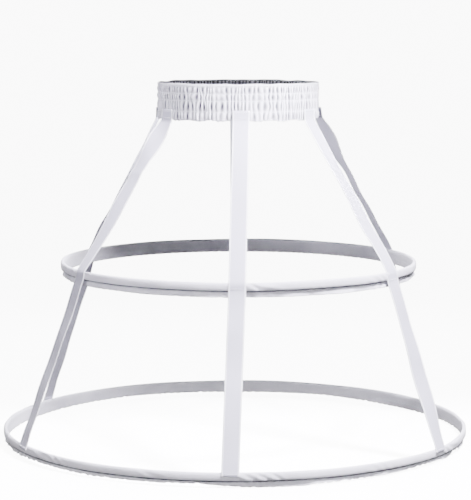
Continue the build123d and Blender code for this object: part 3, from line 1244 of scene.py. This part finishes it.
@dataclass(frozen=True)
class Softbox:
    """One soft studio lamp.

    Attributes:
        name: Name of the lamp.
        stand: Where it stands.
        target: What it points at.
        size: Width of its face, in metres.
        power: Power in watts.
        beam_degrees: Angle of its beam.
        colour: Colour of its light.
        strip: Height of its face if it is a strip and not a disk.
    """

    name: str
    stand: tuple[float, float, float]
    target: tuple[float, float, float]
    size: float
    power: float
    beam_degrees: float = 180.0
    colour: tuple[float, float, float] = (1.0, 1.0, 1.0)
    strip: float = 0.0

    def place(self) -> None:
        """Put the lamp up."""
        lamp = bpy.data.lights.new(self.name, "AREA")
        lamp.shape = "RECTANGLE" if self.strip else "DISK"
        lamp.size = self.size
        lamp.size_y = self.strip or self.size
        lamp.energy = self.power
        lamp.color = self.colour
        lamp.spread = math.radians(self.beam_degrees)
        made = bpy.data.objects.new(self.name, lamp)
        made.location = self.stand
        made.visible_camera = False
        made.rotation_euler = (Vector(self.target) - Vector(self.stand)).to_track_quat("-Z", "Y").to_euler()
        bpy.context.scene.collection.objects.link(made)


@dataclass
class Studio:
    """Pale paper cove all round the object, soft lamps and the camera.

    Attributes:
        floor_radius: Flat part of the floor, in metres.
        cove_radius: Bend up to the wall.
        cove_sides: Sides of the cove round the object.
        wall_height: Height of the wall.
        lens_mm: Camera lens on a 36 mm sensor.
        camera_place: Camera position.
        camera_pitch: Downward tilt, in radians.
        camera_yaw: Turn to the left, in radians.
        flag_height: Height of the black card over the object.
        flag_reach: Front and back edge of the card.
        flag_half_width: Half the width of the card.
    """

    floor_radius: float = 6.4
    cove_radius: float = 1.6
    cove_sides: int = 96
    wall_height: float = 5.0
    lens_mm: float = 152.72
    camera_place: tuple[float, float, float] = (0.00387, -3.2536, 0.68795)
    camera_pitch: float = 0.1212
    camera_yaw: float = 0.0009
    flag_height: float = 0.8
    flag_reach: tuple[float, float] = (-0.175, 0.9)
    flag_half_width: float = 1.3

    def build_cove(self, material: bpy.types.Material) -> bpy.types.Object:
        """Build the floor and its rounded wall.

        Args:
            material: Finish of the paper.

        Returns:
            The cove.
        """
        profile = [(0.0001, 0.0), (0.5, 0.0), (2.0, 0.0), (self.floor_radius, 0.0)]
        for angle in np.radians(np.arange(10, 91, 10)):
            reach = self.floor_radius + self.cove_radius * math.sin(angle)
            profile.append((reach, self.cove_radius * (1 - math.cos(angle))))
        profile.append((self.floor_radius + self.cove_radius, self.wall_height))
        turns = np.arange(self.cove_sides) * TURN / self.cove_sides
        rows = np.array(profile)
        reach, height = rows[:, :1], rows[:, 1:]
        points = np.stack(np.broadcast_arrays(reach * np.cos(turns), reach * np.sin(turns), height), -1)
        along = np.arange(self.cove_sides + 1) * 0.4
        cove = grid_mesh("paper_cove", points, walked_length(rows), along, True)
        cove.data.materials.append(material)
        cove.visible_diffuse = False
        cove.visible_glossy = False
        return cove

    def hang_flag(self, material: bpy.types.Material) -> bpy.types.Object:
        """Hang the black card that keeps the front lamps' light off the back of the hoops.

        Args:
            material: Finish of the card.

        Returns:
            The card.
        """
        front, back = self.flag_reach
        half = self.flag_half_width
        points = np.array([[[x, y, self.flag_height] for x in (-half, half)] for y in (front, back)])
        card = grid_mesh("black_flag", points, np.array([0.0, 1.0]), np.array([0.0, 1.0]), False)
        card.data.materials.append(material)
        card.visible_camera = False
        return card

    def place_camera(self) -> None:
        """Set the camera at the photograph's viewing angle."""
        camera = bpy.data.cameras.new("camera")
        camera.sensor_width = 36.0
        camera.lens = self.lens_mm
        camera.dof.use_dof = False
        made = bpy.data.objects.new("camera", camera)
        made.location = self.camera_place
        made.rotation_euler = (math.pi / 2 - self.camera_pitch, 0.0, self.camera_yaw)
        bpy.context.scene.collection.objects.link(made)
        bpy.context.scene.camera = made

    def build(self, paper: bpy.types.Material, felt: bpy.types.Material) -> None:
        """Set up the camera, the cove, the card and the lamps.

        Args:
            paper: Finish of the cove.
            felt: Finish of the card.
        """
        self.place_camera()
        self.build_cove(paper)
        self.hang_flag(felt)
        self.light()

    def light(self) -> None:
        """Light the cove and the object."""
        world = bpy.data.worlds.new("studio_air")
        world.use_nodes = True
        back = world.node_tree.nodes["Background"]
        back.inputs["Color"].default_value = linear("#F4F3F4")
        back.inputs["Strength"].default_value = 0.12
        bpy.context.scene.world = world
        cool, pale = (1.0, 0.97, 1.1), (1.0, 0.98, 1.05)
        behind = (0.0, 0.1, 0.25)
        lamps = (
            Softbox("front_softbox", (0.9, -0.9, 2.2), (0.04, -0.25, 0.3), 0.4, 52.0, 70.0, cool),
            Softbox("waist_softbox", (1.6, -1.0, 0.35), (0.03, -0.1, 0.54), 0.3, 2.0, 14.0, cool),
            Softbox("left_softbox", (-1.7, -1.3, 0.45), (0.0, -0.1, 0.5), 0.4, 1.1, 18.0, cool),
            Softbox("low_strip", (-0.1, -1.0, 0.05), (-0.1, 0.0, -0.08), 1.3, 0.4, 30.0, pale, 0.08),
            Softbox("hoop_strip", (-0.1, -1.0, 0.5), (-0.1, 0.0, -0.01), 1.3, 1.3, 28.0, pale, 0.08),
            Softbox("back_left_softbox", (-1.2, 2.2, 1.1), behind, 0.6, 13.0, 60.0, pale),
            Softbox("back_right_softbox", (1.2, 2.2, 1.1), behind, 0.6, 13.0, 60.0, pale),
        )
        for lamp in lamps:
            lamp.place()


# The whole cage


TAPES = (
    TapeRun("front_center", 2.0, -0.4, -1.0, ((0.3, 0.2, 3.0),)),
    TapeRun("front_right", 59.0, 55.6, 57.3, ((0.38, 0.1, 5.0), (0.55, 0.08, 8.0), (0.8, 0.14, 22.0))),
    TapeRun("back_right", 101.0, 118.3, 120.0, ((0.1, 0.08, -28.0),), ((0.07, 0.05, 2.2),)),
    TapeRun("back_center", 180.0, 180.0, 180.0, ((0.5, 0.2, 4.0),)),
    TapeRun("back_left", -101.0, -121.0, -120.8, ((0.3, 0.2, -8.0),)),
    TapeRun(
        "front_left", -59.0, -58.3, -60.7,
        twists=((0.095, 0.045, -40.0), (0.3, 0.08, -12.0)),
        bows=((0.36, 0.12, -2.5), (0.2, 0.012, 1.3)),
    ),
)

# How the lower hoop's flap hangs, as the angle from the centre front and the share of its full height.
LOWER_TUCK = (
    (-180.0, 0.85), (-150.0, 0.65), (-110.0, 0.95), (-75.0, 0.75), (-49.0, 0.62), (-36.0, 0.76),
    (-22.0, 0.58), (-12.0, 0.5), (-8.0, 0.42), (-3.0, 0.66), (4.0, 1.0), (8.7, 1.12), (16.0, 1.05),
    (18.0, 0.78), (30.0, 0.76), (46.0, 0.64), (57.0, 0.6), (63.0, 0.95), (67.0, 0.55), (95.0, 0.8),
    (130.0, 1.05), (155.0, 0.7), (180.0, 0.85),
)


def dress_kept_parts(finishes: dict[str, bpy.types.Material]) -> None:
    """Give the CAD parts that stay as they are their own finishes.

    Args:
        finishes: The finish for each ending of a part's name.
    """
    for name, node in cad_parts.items():
        for ending, material in finishes.items():
            if name.endswith(ending):
                node.data.materials.clear()
                node.data.materials.append(material)


def main() -> None:
    """Build the studio and the cage, piece by piece."""
    logging.basicConfig(level=logging.INFO, format="%(name)s: %(message)s")
    # Matt paper lit from behind: a white ground that throws no light on the object.
    paper = PlainSurface(
        "matt_studio_paper", "#F4F4F4", "#EFEFF0", (0.85, 0.95), 40.0, relief_mm=0.02, glow=11.0
    ).make()
    # Pressed felt that swallows the light that falls on it.
    felt = PlainSurface("black_felt", "#101010", "#181818", (0.9, 1.0), 2.0).make()
    Studio().build(paper, felt)

    # The same bleached cotton twice: matt white, with painted shade at the bottom of folds, darker in the
    # casings' creases.
    band_cotton = PlainWeave("gathered_waistband_cotton", painted_shade_colour="#4A4954").make()
    casing_cotton = PlainWeave("folded_casing_cotton", painted_shade_colour="#3E3D45").make()
    # Twill with fine slanting ribs, its middle greyer than the cloth by painted shade, between two edges
    # brightened by a painted highlight.
    twill = TwillTape().make()
    # Spun thread is smoother and a little brighter than the cloth, so the stitches catch the light.
    thread = PlainSurface("spun_polyester_thread", "#F6F6FB", "#DCDCE6", (0.55, 0.7), 0.8).make()
    # Woven elastic is dull, with close ribs.
    elastic = PlainSurface("woven_elastic", "#EFEFEF", "#D8D8D8", (0.7, 0.85), 1.2, (4.0, 4.0, 1.0)).make()
    # Extruded plastic is slightly glossy and yellowish.
    boning = PlainSurface(
        "extruded_polyester_boning", "#EDEDE6", "#E0E0D8", (0.35, 0.5), 2.0, (1.0, 1.0, 0.2)
    ).make()
    # Drawn steel shines, with fine lines along the draw.
    sleeve = PlainSurface(
        "drawn_steel_sleeve", "#B8B8B8", "#8F8F8F", (0.25, 0.45), 0.6, (12.0, 1.0, 1.0), metallic=1.0
    ).make()

    waistband = Waistband()
    waistband.build(band_cotton, thread)
    upper = HoopCasing("upper_hoop", seed=200, ragged_mm=0.25, columns=760)
    upper.build(casing_cotton, thread)
    lower = HoopCasing(
        "lower_hoop", seed=300, ragged_mm=0.7, columns=980,
        tuck=LOWER_TUCK, lap=(61.5, 65.5), hairs=520, loose=(127.5, 128.6),
    )
    lower.build(casing_cotton, thread)
    TapeSet(waistband, upper, lower, TAPES).build(twill, thread)
    dress_kept_parts({"elastic": elastic, "bone": boning, "connector": sleeve, "tacks": thread})


if __name__ == "__main__":
    main()
